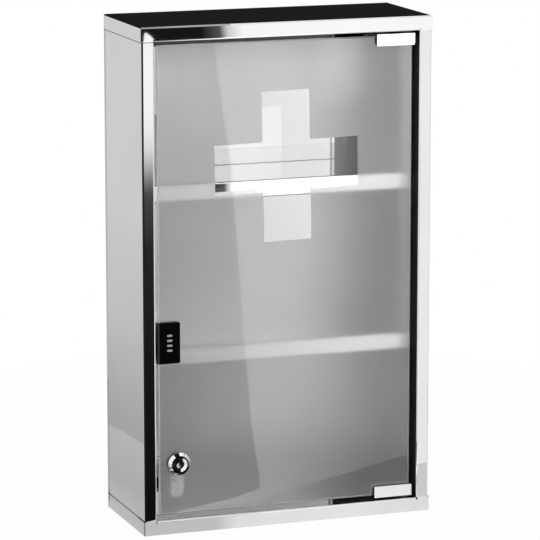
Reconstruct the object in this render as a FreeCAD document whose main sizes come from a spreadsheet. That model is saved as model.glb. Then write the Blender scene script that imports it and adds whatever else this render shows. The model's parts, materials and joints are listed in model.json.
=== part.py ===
import FreeCAD, Part
import os
import re
import Sketcher

# A wall-hung medicine cabinet in folded sheet steel with an inset glass door.
# Millimetres. X to the right, Y to the back, Z up. The origin is the middle of the cabinet's underside.

doc = FreeCAD.newDocument("medicine_cabinet")

# Driving dimensions, one spreadsheet cell each
values = {
    # Cabinet and sheet metal
    "cabinet_width": 300,
    "cabinet_depth": 120,
    "cabinet_height": 500,
    "sheet_gauge": 0.8,
    "bend_radius": 0.7,
    "cap_flange": 14.5,
    "stile_width": 13.5,
    "lip_depth": 26,
    "seam_gap": 0.3,
    "relief_width": 1.6,
    "relief_height": 2.4,
    "wall_hole_radius": 3.5,
    "wall_hole_spread": 240,
    "wall_hole_rise": 380,
    # Shelves
    "lower_shelf_top": 181.5,
    "upper_shelf_top": 343.5,
    "shelf_setback": 19.5,
    "shelf_flange": 17,
    "shelf_return": 6,
    "shelf_rear_flange": 10,
    "shelf_tab_height": 12,
    "shelf_tab_setback": 30,
    "shelf_tab_rear_gap": 10,
    # Glass door
    "door_recess": 6,
    "glass_thickness": 4,
    "glass_arris": 1.2,
    "door_gap": 4.2,
    "hinge_gap": 5.5,
    # Clamp hinges
    "clamp_width": 40.5,
    "clamp_grip": 10,
    "clamp_wall": 2.8,
    "clamp_bridge": 1.7,
    "clamp_overhang": 1.5,
    "clamp_corner": 2,
    "clamp_edge": 0.4,
    "glass_clearance": 0.3,
    "pad_thickness": 0.5,
    "pad_inset": 1,
    "pivot_inset": 8,
    "pin_radius": 2.5,
    "pin_length": 7.5,
    "pin_chamfer": 0.6,
    "spigot_radius": 1.5,
    "seat_fit": 0.02,
    "running_fit": 0.05,
    "hinge_play": 0.3,
    "bush_radius": 4,
    "bush_flange_radius": 5.5,
    "bush_length": 5,
    "set_screw_radius": 2,
    "set_screw_spread": 18,
    "set_screw_stand": 0.6,
    "driver_slot_width": 0.8,
    "driver_slot_depth": 0.5,
    # Push clip and strike plate
    "clip_reach": 21.6,
    "clip_height": 41,
    "clip_wall": 1.5,
    "clip_bend": 0.4,
    "clip_corner": 2,
    "clip_fit": 0.05,
    "strike_width": 14,
    "strike_height": 26,
    "strike_thickness": 1.2,
    "strike_corner": 1.5,
    # Touch latch
    "latch_axis_height": 9.2,
    "latch_gap": 0.3,
    "latch_setback": 0.8,
    "latch_length": 50,
    "barrel_radius": 8,
    "barrel_edge": 0.8,
    "bore_depth": 45,
    "plunger_radius": 5,
    "plunger_length": 38,
    "plunger_chamfer": 0.5,
    "slide_fit": 0.08,
    "magnet_radius": 4,
    "magnet_length": 3,
    "spring_radius": 4.6,
    "spring_wall": 0.9,
    "ear_reach": 12,
    "ear_radius": 4.5,
    "ear_thickness": 2.5,
    "ear_setback": 20,
    "screw_radius": 1.4,
    "screw_length": 6,
    "screw_head_radius": 2.8,
    "screw_head_height": 1.8,
    "screw_fit": 0.05,
    # Cam lock
    "lock_inset": 20.3,
    "lock_height": 69,
    "gasket_thickness": 0.6,
    "gasket_radius": 11,
    "bezel_radius": 11.5,
    "bezel_thickness": 3.8,
    "bezel_edge": 0.8,
    "groove_radius": 8.35,
    "groove_width": 0.9,
    "groove_depth": 0.6,
    "dish_radius": 7.2,
    "dish_depth": 2,
    "barrel_thread_radius": 8,
    "barrel_tail": 1,
    "lock_hole_clearance": 0.5,
    "washer_thickness": 0.6,
    "nut_flats": 21,
    "nut_thickness": 3,
    "plug_radius": 4.6,
    "key_slot_width": 1.3,
    "key_slot_height": 6.4,
    "key_slot_depth": 4,
    "cam_width": 14,
    "cam_length": 35,
    "cam_thickness": 2,
    "cam_clearance": 0.3,
    "tail_width": 6,
    "cam_screw_radius": 2,
    "cam_screw_depth": 6,
    "cam_head_radius": 4.5,
    "cam_head_height": 2.2,
    "cam_slot_height": 56,
    "cam_slot_play": 1.5,
    # How far cuts run past the material
    "overrun": 1,
}
sheet = doc.addObject("Spreadsheet::Sheet", "sizes")
for row, (alias, size) in enumerate(values.items(), start=1):
    sheet.set(f"A{row}", alias)
    sheet.set(f"B{row}", str(size))
    sheet.setAlias(f"B{row}", alias)
doc.recompute()
alias_pattern = re.compile(r"\b(" + "|".join(values) + r")\b")

# Places that several pieces share, written in the sheet's aliases
half_width = "(cabinet_width / 2)"
front = "(-cabinet_depth / 2)"
rear = "(cabinet_depth / 2)"
outer_bend = "(bend_radius + sheet_gauge)"
wall_face = f"({half_width} - sheet_gauge)"
wall_inside = f"({half_width} - 2 * sheet_gauge)"
open_half = f"({half_width} - stile_width)"
lip_half = f"({open_half} - seam_gap)"
lip_end = f"({front} + lip_depth)"
back_inside = f"({rear} - sheet_gauge)"
shelf_front = f"({front} + shelf_setback)"
glass_front = f"({front} + door_recess)"
glass_rear = f"({glass_front} + glass_thickness)"
glass_middle = f"({glass_front} + glass_thickness / 2)"
glass_left = f"(-{open_half} + door_gap)"
glass_right = f"({open_half} - hinge_gap)"
glass_bottom = "(cap_flange + door_gap)"
glass_top = "(cabinet_height - cap_flange - door_gap)"
clamp_right = f"({glass_right} + clamp_overhang)"
clamp_left = f"({clamp_right} - clamp_width)"
clamp_rise = "(glass_clearance + clamp_bridge)"
pivot_x = f"({clamp_right} - pivot_inset)"
clip_left = f"({glass_left} - clip_fit - clip_wall)"
clip_right = f"({glass_left} + clip_reach)"
clip_front = f"({glass_front} - clip_fit - clip_wall)"
clip_rear = f"({glass_rear} + clip_fit + clip_wall)"
latch_x = f"(({clip_left} + {clip_right}) / 2)"
latch_z = "(lower_shelf_top + latch_axis_height)"
strike_rear = f"({clip_rear} + strike_thickness)"
plunger_front = f"({strike_rear} + latch_gap)"
plunger_rear = f"({plunger_front} + plunger_length)"
latch_front = f"({shelf_front} + latch_setback)"
bore_end = f"({latch_front} + bore_depth)"
ear_y = f"({latch_front} + ear_setback)"
ear_top = "(lower_shelf_top + ear_thickness)"
lock_x = f"({glass_left} + lock_inset)"
bezel_rear = f"({glass_front} - gasket_thickness)"
bezel_front = f"({bezel_rear} - bezel_thickness)"
nut_front = f"({glass_rear} + washer_thickness)"
nut_rear = f"({nut_front} + nut_thickness)"
barrel_end = f"({nut_rear} + barrel_tail)"
cam_front = f"({barrel_end} + cam_clearance)"
cam_rear = f"({cam_front} + cam_thickness)"
lock_hole_radius = "(barrel_thread_radius + lock_hole_clearance)"

# Two places closer than this share of a seam count as one
coincidence_share = 0.001


def bound(expression):
    # The expression as a document object reads it
    return alias_pattern.sub(r"sizes.\1", expression)


def number(expression):
    # The expression's value in millimetres
    return float(sheet.evalExpression(expression))


# Outlines: each returns a function that draws one closed loop in a sketch
def hold(sketch, kind, geometry, point, expression):
    # Ties one coordinate of a point to the sheet
    constraint = Sketcher.Constraint(kind, -1, 1, geometry, point, number(expression))
    index = sketch.addConstraint(constraint)
    sketch.setExpression(f"Constraints[{index}]", bound(expression))


def hold_radius(sketch, geometry, expression):
    index = sketch.addConstraint(Sketcher.Constraint("Radius", geometry, number(expression)))
    sketch.setExpression(f"Constraints[{index}]", bound(expression))


def polygon(*points):
    def draw(sketch):
        corners = [FreeCAD.Vector(number(u), number(v), 0) for u, v in points]
        following = corners[1:] + corners[:1]
        lines = [
            sketch.addGeometry(Part.LineSegment(start, end), False)
            for start, end in zip(corners, following)
        ]
        for line, after in zip(lines, lines[1:] + lines[:1]):
            sketch.addConstraint(Sketcher.Constraint("Coincident", line, 2, after, 1))
        for line, (u, v) in zip(lines, points):
            hold(sketch, "DistanceX", line, 1, u)
            hold(sketch, "DistanceY", line, 1, v)

    return draw


def rectangle(left, low, right, high):
    return polygon((left, low), (right, low), (right, high), (left, high))


def circle(u, v, radius):
    def draw(sketch):
        middle = FreeCAD.Vector(number(u), number(v), 0)
        axis = FreeCAD.Vector(0, 0, 1)
        ring = sketch.addGeometry(Part.Circle(middle, axis, number(radius)), False)
        hold(sketch, "DistanceX", ring, 3, u)
        hold(sketch, "DistanceY", ring, 3, v)
        hold_radius(sketch, ring, radius)

    return draw


def hexagon(u, v, flats):
    # Turned 15 degrees, so that each corner's offsets are one of three lengths
    corner = f"({flats} / sqrt(3))"
    short = f"({corner} * (sqrt(6) - sqrt(2)) / 4)"
    equal = f"({corner} / sqrt(2))"
    long = f"({corner} * (sqrt(6) + sqrt(2)) / 4)"
    return polygon(
        (f"{u} - {long}", f"{v} + {short}"),
        (f"{u} - {equal}", f"{v} - {equal}"),
        (f"{u} + {short}", f"{v} - {long}"),
        (f"{u} + {long}", f"{v} - {short}"),
        (f"{u} + {equal}", f"{v} + {equal}"),
        (f"{u} - {short}", f"{v} + {long}"),
    )


# Features of a body
def new_body(label):
    body = doc.addObject("PartDesign::Body", label)
    body.AllowCompound = True
    return body


def new_sketch(body, name, plane, offset, loops):
    sketch = body.newObject("Sketcher::SketchObject", f"{body.Label}_{name}_sketch")
    origin_plane = next(item for item in body.Origin.OriginFeatures if item.Role == plane)
    sketch.AttachmentSupport = [(origin_plane, "")]
    sketch.MapMode = "FlatFace"
    for axis, expression in zip("xyz", offset):
        sketch.setExpression(f"AttachmentOffset.Base.{axis}", bound(expression))
    for draw in loops:
        draw(sketch)
    return sketch


def plane_offset(plane, start):
    # The XZ plane faces the front, so a place towards the back is negative along its normal
    return ("0", "0", f"-({start})" if plane == "XZ_Plane" else start)


def pad(body, name, plane, start, length, *loops):
    # Material from start, in the positive direction of the axis across the plane
    sketch = new_sketch(body, name, plane, plane_offset(plane, start), loops)
    feature = body.newObject("PartDesign::Pad", f"{body.Label}_{name}")
    feature.Profile = sketch
    feature.setExpression("Length", bound(length))
    feature.Reversed = plane == "XZ_Plane"
    doc.recompute()
    return feature


def pocket(body, name, plane, start, length, *loops):
    # A cut from start, in the positive direction of the axis across the plane
    before = body.Shape.Volume
    sketch = new_sketch(body, name, plane, plane_offset(plane, start), loops)
    feature = body.newObject("PartDesign::Pocket", f"{body.Label}_{name}")
    feature.Profile = sketch
    feature.setExpression("Length", bound(length))
    feature.Reversed = plane != "XZ_Plane"
    doc.recompute()
    if body.Shape.Volume >= before:
        raise RuntimeError(f"{feature.Name} cuts nothing")
    return feature


def turned(body, name, axis, centre, *points):
    # A revolved piece about a line along Y or Z through centre, from points of radius and place
    plane = "XY_Plane" if axis == "Y" else "XZ_Plane"
    across = centre[1] if axis == "Y" else f"-({centre[1]})"
    sketch = new_sketch(body, name, plane, (centre[0], "0", across), [polygon(*points)])
    feature = body.newObject("PartDesign::Revolution", f"{body.Label}_{name}")
    feature.Profile = sketch
    feature.ReferenceAxis = (sketch, ["V_Axis"])
    feature.Angle = 360
    doc.recompute()
    return feature


def edge_names(body, chosen):
    return [f"Edge{i}" for i, edge in enumerate(body.Tip.Shape.Edges, start=1) if chosen(edge)]


def same(first, second):
    return abs(first - second) < number("seam_gap") * coincidence_share


def coordinates(point, axis):
    # The two coordinates across an axis
    return [value for name, value in zip("XYZ", point) if name != axis]


def lines_along(axis, places, through=None):
    # Straight edges parallel to an axis at given places, and past a given point of it
    targets = [(number(u), number(v)) for u, v in places]

    def chosen(edge):
        if len(edge.Vertexes) != 2:
            return False
        ends = [vertex.Point for vertex in edge.Vertexes]
        if through is not None:
            reach = sorted(end["XYZ".index(axis)] for end in ends)
            if not reach[0] < number(through) < reach[1]:
                return False
        return any(
            all(
                same(u, target[0]) and same(v, target[1])
                for u, v in (coordinates(end, axis) for end in ends)
            )
            for target in targets
        )

    return chosen


def edges_on(axis, place):
    # Every edge that lies in the plane across an axis
    target = number(place)
    index = "XYZ".index(axis)

    def chosen(edge):
        low = (edge.BoundBox.XMin, edge.BoundBox.YMin, edge.BoundBox.ZMin)[index]
        high = (edge.BoundBox.XMax, edge.BoundBox.YMax, edge.BoundBox.ZMax)[index]
        return same(low, target) and same(high, target)

    return chosen


def rounded(body, name, radius, chosen):
    base = body.Tip
    names = edge_names(body, chosen)
    feature = body.newObject("PartDesign::Fillet", f"{body.Label}_{name}")
    feature.Base = (base, names)
    feature.setExpression("Radius", bound(radius))
    doc.recompute()
    return feature


def bevelled(body, name, size, chosen):
    base = body.Tip
    names = edge_names(body, chosen)
    feature = body.newObject("PartDesign::Chamfer", f"{body.Label}_{name}")
    feature.Base = (base, names)
    feature.setExpression("Size", bound(size))
    doc.recompute()
    return feature


def folded(body, name, plane, start, length, thickness, bend, path):
    # A strip folded along its outer path, where each corner also says which way the thickness lies
    outer = [(u, v) for u, v, along_u, along_v in path]
    inner = [
        (f"({u} + {along_u} * {thickness})", f"({v} + {along_v} * {thickness})")
        for u, v, along_u, along_v in path
    ]
    pad(body, name, plane, start, length, polygon(*outer, *reversed(inner)))
    axis = {"XY_Plane": "Z", "XZ_Plane": "Y", "YZ_Plane": "X"}[plane]
    rounded(body, f"{name}_outer_bends", f"{bend} + {thickness}", lines_along(axis, outer[1:-1]))
    rounded(body, f"{name}_inner_bends", bend, lines_along(axis, inner[1:-1]))


# Cabinet
def cap(label, upper):
    # A pan with flanges all round, and behind the front flange a lip that carries the pivot bush
    body = new_body(label)

    def level(depth):
        return f"(cabinet_height - ({depth}))" if upper else f"({depth})"

    def lowest(near, far):
        return level(far) if upper else level(near)

    pad(
        body, "block", "XY_Plane", lowest("0", "cap_flange"), "cap_flange",
        rectangle(f"-{half_width}", front, half_width, back_inside),
    )
    rounded(body, "bends", outer_bend, edges_on("Z", level("0")))
    base = body.Tip
    open_level = number(level("cap_flange"))
    open_face = next(
        f"Face{i}" for i, face in enumerate(base.Shape.Faces, start=1)
        if same(face.BoundBox.ZMin, open_level) and same(face.BoundBox.ZMax, open_level)
    )
    shell = body.newObject("PartDesign::Thickness", f"{label}_shell")
    shell.Base = (base, [open_face])
    shell.Reversed = True
    shell.Join = 0
    shell.setExpression("Value", bound("sheet_gauge"))
    doc.recompute()
    lip_near = "(cap_flange - sheet_gauge)"
    pad(
        body, "lip", "XY_Plane", lowest(lip_near, "cap_flange"), "sheet_gauge",
        rectangle(f"-{lip_half}", front, lip_half, lip_end),
    )
    relief_low = level("cap_flange + overrun")
    relief_high = level("cap_flange - relief_height")
    pocket(
        body, "reliefs", "XZ_Plane", f"{front} - overrun", "sheet_gauge + 2 * overrun",
        rectangle(lip_half, relief_low, f"({lip_half} + relief_width)", relief_high),
        rectangle(f"(-{lip_half} - relief_width)", relief_low, f"-{lip_half}", relief_high),
    )
    seam_low = level("cap_flange + overrun")
    seam_high = level(outer_bend)
    front_seam = f"({front} + sheet_gauge)"
    rear_seam = f"({back_inside} - sheet_gauge)"
    for side, start in (("left", f"(-{half_width} - overrun)"), ("right", wall_face)):
        pocket(
            body, f"{side}_seams", "YZ_Plane", start, "sheet_gauge + overrun",
            rectangle(front_seam, seam_low, f"({front_seam} + seam_gap)", seam_high),
            rectangle(f"({rear_seam} - seam_gap)", seam_low, rear_seam, seam_high),
        )
    fold = [(front, level("cap_flange"))]
    inner_fold = [(f"({front} + sheet_gauge)", level(lip_near))]
    rounded(body, "lip_bend", outer_bend, lines_along("X", fold, "0"))
    rounded(body, "lip_inner_bend", "bend_radius", lines_along("X", inner_fold, "0"))
    pocket(
        body, "bush_hole", "XY_Plane", lowest(f"{lip_near} - overrun", "cap_flange + overrun"),
        "sheet_gauge + 2 * overrun", circle(pivot_x, glass_middle, "(bush_radius + seat_fit)"),
    )
    return body


def side_panel(label, left):
    # A wall folded round to a front stile and a lip beside the door, notched round the caps' rear flanges
    body = new_body(label)
    sign = "-" if left else ""
    inwards = 1 if left else -1
    foot = "(sheet_gauge + bend_radius + seam_gap)"
    head = f"(cabinet_height - {foot})"
    front_face = f"({front} + sheet_gauge)"
    path = [
        (f"({sign}{wall_face})", back_inside, inwards, 0),
        (f"({sign}{wall_face})", front_face, inwards, 1),
        (f"({sign}{open_half})", front_face, -inwards, 1),
        (f"({sign}{open_half})", lip_end, -inwards, 0),
    ]
    folded(body, "wall", "XY_Plane", foot, f"{head} - {foot}", "sheet_gauge", "bend_radius", path)
    notch_front = f"({back_inside} - sheet_gauge - bend_radius - seam_gap)"
    notch_start = f"(-{wall_face} - overrun)" if left else f"({wall_inside} - overrun)"
    pocket(
        body, "rear_notches", "YZ_Plane", notch_start, "sheet_gauge + 2 * overrun",
        rectangle(notch_front, f"{foot} - overrun", rear, "(cap_flange + seam_gap)"),
        rectangle(notch_front, "(cabinet_height - cap_flange - seam_gap)", rear, f"{head} + overrun"),
    )
    if left:
        pocket(
            body, "cam_slot", "YZ_Plane", f"(-{open_half} - sheet_gauge - overrun)",
            "sheet_gauge + 2 * overrun",
            rectangle(
                f"({cam_front} - cam_slot_play)", "(lock_height - cam_slot_height / 2)",
                f"({cam_rear} + cam_slot_play)", "(lock_height + cam_slot_height / 2)",
            ),
        )
    return body


def back():
    body = new_body("back_panel")
    middle = "(cabinet_height / 2)"
    holes = [
        circle(f"({x} * wall_hole_spread / 2)", f"({middle} + {z} * wall_hole_rise / 2)", "wall_hole_radius")
        for x in (-1, 1)
        for z in (-1, 1)
    ]
    outline = rectangle(f"-{half_width}", "0", half_width, "cabinet_height")
    pad(body, "panel", "XZ_Plane", back_inside, "sheet_gauge", outline, *holes)
    return body


def shelf(label, top, screwed):
    # Folded down at the front and back, with a return under the front flange and a weld tab at each end,
    # and notched round the side panels' lips
    body = new_body(label)
    path = [
        (f"({shelf_front} + shelf_return)", f"({top} - shelf_flange)", 0, 1),
        (shelf_front, f"({top} - shelf_flange)", 1, 1),
        (shelf_front, top, 1, -1),
        (back_inside, top, -1, -1),
        (back_inside, f"({top} - shelf_rear_flange)", -1, 0),
    ]
    folded(
        body, "plate", "YZ_Plane", f"-{wall_inside}", f"2 * {wall_inside}",
        "sheet_gauge", "bend_radius", path,
    )
    outside = f"({wall_inside} + overrun)"
    notch_inside = f"({open_half} - seam_gap)"
    notch_front = f"({shelf_front} - overrun)"
    notch_rear = f"({lip_end} + seam_gap)"
    pocket(
        body, "lip_notches", "XY_Plane", f"({top} - shelf_flange - overrun)", "shelf_flange + 2 * overrun",
        rectangle(notch_inside, notch_front, outside, notch_rear),
        rectangle(f"-{outside}", notch_front, f"-{notch_inside}", notch_rear),
    )
    tab_front = f"({shelf_front} + shelf_tab_setback)"
    tab_rear = f"({back_inside} - shelf_tab_rear_gap)"
    tab = rectangle(tab_front, f"({top} - shelf_tab_height)", tab_rear, top)
    pad(body, "left_tab", "YZ_Plane", f"-{wall_inside}", "sheet_gauge", tab)
    pad(body, "right_tab", "YZ_Plane", f"({wall_inside} - sheet_gauge)", "sheet_gauge", tab)
    if screwed:
        pocket(
            body, "screw_holes", "XY_Plane", f"({top} - sheet_gauge - overrun)", "sheet_gauge + 2 * overrun",
            circle(f"({latch_x} - ear_reach)", ear_y, "(screw_radius + screw_fit)"),
            circle(f"({latch_x} + ear_reach)", ear_y, "(screw_radius + screw_fit)"),
        )
    return body


# Clamp hinges, written once for the upper and lower corner
def beyond(upper, distance):
    # A level past the glass's upper or lower edge, measured away from the glass
    return f"({glass_top} + ({distance}))" if upper else f"({glass_bottom} - ({distance}))"


def pivot_bush(label, upper):
    # A flanged bush set into the cap's lip, with the flange towards the door
    body = new_body(label)
    flange_face = beyond(upper, f"{clamp_rise} + hinge_play")
    lip_face = beyond(upper, "door_gap")
    end = beyond(upper, "door_gap + sheet_gauge + bush_length")
    bore = "(pin_radius + running_fit)"
    turned(
        body, "bush", "Z", (pivot_x, glass_middle),
        (bore, flange_face), ("bush_flange_radius", flange_face), ("bush_flange_radius", lip_face),
        ("bush_radius", lip_face), ("bush_radius", end), (bore, end),
    )
    return body


def hinge_pin(label, upper):
    # A headless pin riveted through the clamp's bridge
    body = new_body(label)
    foot = beyond(upper, "glass_clearance")
    seat = beyond(upper, clamp_rise)
    shoulder = beyond(upper, f"{clamp_rise} + pin_length - pin_chamfer")
    tip = beyond(upper, f"{clamp_rise} + pin_length")
    turned(
        body, "pin", "Z", (pivot_x, glass_middle),
        ("0", foot), ("spigot_radius", foot), ("spigot_radius", seat), ("pin_radius", seat),
        ("pin_radius", shoulder), ("(pin_radius - pin_chamfer)", tip), ("0", tip),
    )
    return body


clamp_front_inside = f"({glass_front} - pad_thickness)"
clamp_front_face = f"({clamp_front_inside} - clamp_wall)"
clamp_rear_inside = f"({glass_rear} + pad_thickness)"
clamp_rear_face = f"({clamp_rear_inside} + clamp_wall)"
clamp_middle = f"(({clamp_left} + {clamp_right}) / 2)"


def set_screw_places(upper):
    level = beyond(upper, "-clamp_grip / 2")
    return [(f"({clamp_middle} + {side} * set_screw_spread / 2)", level) for side in (-1, 1)]


def hinge_clamp(label, upper):
    # A cast channel over the edge of the glass
    body = new_body(label)
    tip = beyond(upper, "-clamp_grip")
    bridge = beyond(upper, "glass_clearance")
    crown = beyond(upper, clamp_rise)
    pad(
        body, "channel", "YZ_Plane", clamp_left, "clamp_width",
        polygon(
            (clamp_front_face, tip), (clamp_front_inside, tip), (clamp_front_inside, bridge),
            (clamp_rear_inside, bridge), (clamp_rear_inside, tip), (clamp_rear_face, tip),
            (clamp_rear_face, crown), (clamp_front_face, crown),
        ),
    )
    rounded(body, "corners", "clamp_corner", lines_along("Y", [(clamp_left, tip), (clamp_right, tip)]))
    rounded(body, "front_edge", "clamp_edge", edges_on("Y", clamp_front_face))
    spigot_hole = circle(pivot_x, glass_middle, "(spigot_radius + seat_fit)")
    hole_start = f"({crown} - clamp_bridge - overrun)" if upper else f"({crown} - overrun)"
    pocket(body, "pin_hole", "XY_Plane", hole_start, "clamp_bridge + 2 * overrun", spigot_hole)
    screw_holes = [circle(x, z, "(set_screw_radius + seat_fit)") for x, z in set_screw_places(upper)]
    pocket(body, "screw_holes", "XZ_Plane", clamp_rear_inside, "clamp_wall + overrun", *screw_holes)
    return body


def hinge_pads(label, upper):
    # One pad between each wall of the clamp and the glass
    body = new_body(label)
    levels = (beyond(upper, "-clamp_grip + pad_inset"), beyond(upper, "-pad_inset"))
    outline = rectangle(
        f"({clamp_left} + pad_inset)", levels[0], f"({glass_right} - pad_inset)", levels[1]
    )
    pad(body, "front_pad", "XZ_Plane", clamp_front_inside, "pad_thickness", outline)
    pad(body, "rear_pad", "XZ_Plane", glass_rear, "pad_thickness", outline)
    return body


def hinge_screws(label, upper):
    # Two headless set screws that press the rear pad against the glass
    body = new_body(label)
    places = set_screw_places(upper)
    end = f"({clamp_rear_face} + set_screw_stand)"
    threads = [circle(x, z, "set_screw_radius") for x, z in places]
    slots = [
        rectangle(
            f"({x} - set_screw_radius - overrun)", f"({z} - driver_slot_width / 2)",
            f"({x} + set_screw_radius + overrun)", f"({z} + driver_slot_width / 2)",
        )
        for x, z in places
    ]
    pad(body, "threads", "XZ_Plane", clamp_rear_inside, "clamp_wall + set_screw_stand", *threads)
    pocket(
        body, "driver_slots", "XZ_Plane", f"({end} - driver_slot_depth)",
        "driver_slot_depth + overrun", *slots,
    )
    return body


# Door
def glass():
    body = new_body("door_glass")
    outline = rectangle(glass_left, glass_bottom, glass_right, glass_top)
    hole = circle(lock_x, "lock_height", lock_hole_radius)
    pad(body, "pane", "XZ_Plane", glass_front, "glass_thickness", outline, hole)
    faces = (glass_front, glass_rear)
    upright = lines_along("Z", [(x, y) for x in (glass_left, glass_right) for y in faces])
    level = lines_along("X", [(y, z) for y in faces for z in (glass_bottom, glass_top)])
    bevelled(body, "arris", "glass_arris", lambda edge: upright(edge) or level(edge))
    return body


def push_clip():
    # A moulded channel over the glass's free edge, rounded at its inner corners
    body = new_body("push_clip")
    foot = f"({latch_z} - clip_height / 2)"
    path = [
        (clip_right, clip_front, 0, 1),
        (clip_left, clip_front, 1, 1),
        (clip_left, clip_rear, 1, -1),
        (clip_right, clip_rear, 0, -1),
    ]
    folded(body, "channel", "XY_Plane", foot, "clip_height", "clip_wall", "clip_bend", path)
    corners = [(clip_right, foot), (clip_right, f"({foot} + clip_height)")]
    rounded(body, "corners", "clip_corner", lines_along("Y", corners))
    return body


def strike():
    body = new_body("strike_plate")
    left = f"({latch_x} - strike_width / 2)"
    right = f"({latch_x} + strike_width / 2)"
    low = f"({latch_z} - strike_height / 2)"
    high = f"({latch_z} + strike_height / 2)"
    pad(body, "plate", "XZ_Plane", clip_rear, "strike_thickness", rectangle(left, low, right, high))
    corners = [(left, low), (left, high), (right, low), (right, high)]
    rounded(body, "corners", "strike_corner", lines_along("Y", corners))
    return body


# Touch latch on the lower shelf
def latch_housing():
    # A barrel on a foot with a screw ear at each side, bored from the front
    body = new_body("latch_housing")
    left = f"({latch_x} - barrel_radius)"
    right = f"({latch_x} + barrel_radius)"
    pad(body, "barrel", "XZ_Plane", latch_front, "latch_length", circle(latch_x, latch_z, "barrel_radius"))
    pad(
        body, "foot", "XZ_Plane", latch_front, "latch_length",
        rectangle(left, "lower_shelf_top", right, latch_z),
    )
    rounded(body, "front_edge", "barrel_edge", edges_on("Y", latch_front))
    ear_ends = [circle(f"({latch_x} + {side} * ear_reach)", ear_y, "ear_radius") for side in (-1, 1)]
    pad(body, "ears", "XY_Plane", "lower_shelf_top", "ear_thickness", *ear_ends)
    pad(
        body, "ear_bridge", "XY_Plane", "lower_shelf_top", "ear_thickness",
        rectangle(
            f"({latch_x} - ear_reach)", f"({ear_y} - ear_radius)",
            f"({latch_x} + ear_reach)", f"({ear_y} + ear_radius)",
        ),
    )
    pocket(
        body, "screw_holes", "XY_Plane", "(lower_shelf_top - overrun)", "ear_thickness + 2 * overrun",
        *[
            circle(f"({latch_x} + {side} * ear_reach)", ear_y, "(screw_radius + screw_fit)")
            for side in (-1, 1)
        ],
    )
    pocket(
        body, "bore", "XZ_Plane", f"({latch_front} - overrun)", "bore_depth + overrun",
        circle(latch_x, latch_z, "(plunger_radius + slide_fit)"),
    )
    return body


def latch_plunger():
    # A rod with a cup for the magnet in its front end
    body = new_body("latch_plunger")
    cup = f"({plunger_front} + magnet_length)"
    cup_radius = "(magnet_radius + seat_fit)"
    turned(
        body, "rod", "Y", (latch_x, latch_z),
        ("0", cup), (cup_radius, cup), (cup_radius, plunger_front),
        ("(plunger_radius - plunger_chamfer)", plunger_front),
        ("plunger_radius", f"({plunger_front} + plunger_chamfer)"),
        ("plunger_radius", plunger_rear), ("0", plunger_rear),
    )
    return body


def latch_magnet():
    body = new_body("latch_magnet")
    pad(body, "disc", "XZ_Plane", plunger_front, "magnet_length", circle(latch_x, latch_z, "magnet_radius"))
    return body


def latch_spring():
    # The sealed coil behind the plunger, as a plain sleeve of its outer size
    body = new_body("latch_spring")
    pad(
        body, "coil", "XZ_Plane", plunger_rear, f"{bore_end} - {plunger_rear}",
        circle(latch_x, latch_z, "spring_radius"), circle(latch_x, latch_z, "(spring_radius - spring_wall)"),
    )
    return body


def latch_screws():
    body = new_body("latch_screws")
    places = [(f"({latch_x} + {side} * ear_reach)", ear_y) for side in (-1, 1)]
    heads = [circle(x, y, "screw_head_radius") for x, y in places]
    shanks = [circle(x, y, "screw_radius") for x, y in places]
    slots = [
        rectangle(
            f"({x} - screw_head_radius - overrun)", f"({y} - driver_slot_width / 2)",
            f"({x} + screw_head_radius + overrun)", f"({y} + driver_slot_width / 2)",
        )
        for x, y in places
    ]
    pad(body, "heads", "XY_Plane", ear_top, "screw_head_height", *heads)
    pad(body, "shanks", "XY_Plane", f"({ear_top} - screw_length)", "screw_length", *shanks)
    pocket(
        body, "driver_slots", "XY_Plane", f"({ear_top} + screw_head_height - driver_slot_depth)",
        "driver_slot_depth + overrun", *slots,
    )
    return body


# Cam lock in the glass
lock_centre = (lock_x, "lock_height")


def lock_housing():
    # A bevelled bezel with a groove and a dished mouth, and the threaded barrel behind it
    body = new_body("lock_housing")
    bore = "(plug_radius + running_fit)"
    turned(
        body, "barrel", "Y", lock_centre,
        (bore, barrel_end), ("barrel_thread_radius", barrel_end), ("barrel_thread_radius", bezel_rear),
        ("bezel_radius", bezel_rear), ("bezel_radius", f"({bezel_rear} - bezel_edge)"),
        ("(groove_radius + groove_width / 2)", bezel_front),
        ("groove_radius", f"({bezel_front} + groove_depth)"),
        ("(groove_radius - groove_width / 2)", bezel_front),
        ("dish_radius", bezel_front), (bore, f"({bezel_front} + dish_depth)"),
    )
    return body


def ring(label, start, thickness, outline, hole_radius):
    body = new_body(label)
    pad(body, "ring", "XZ_Plane", start, thickness, outline, circle(*lock_centre, hole_radius))
    return body


def lock_plug():
    # The keyed plug with a square tail for the cam
    body = new_body("lock_plug")
    face = f"({bezel_front} + dish_depth)"
    turned(
        body, "plug", "Y", lock_centre,
        ("0", face), ("plug_radius", face), ("plug_radius", cam_front), ("0", cam_front),
    )
    pad(
        body, "tail", "XZ_Plane", cam_front, "cam_thickness",
        rectangle(
            f"({lock_x} - tail_width / 2)", "(lock_height - tail_width / 2)",
            f"({lock_x} + tail_width / 2)", "(lock_height + tail_width / 2)",
        ),
    )
    pocket(
        body, "key_slot", "XZ_Plane", f"({face} - overrun)", "key_slot_depth + overrun",
        rectangle(
            f"({lock_x} - key_slot_width / 2)", "(lock_height - key_slot_height / 2)",
            f"({lock_x} + key_slot_width / 2)", "(lock_height + key_slot_height / 2)",
        ),
    )
    pocket(
        body, "screw_hole", "XZ_Plane", f"({cam_rear} - cam_screw_depth)", "cam_screw_depth + overrun",
        circle(*lock_centre, "(cam_screw_radius + seat_fit)"),
    )
    return body


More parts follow.
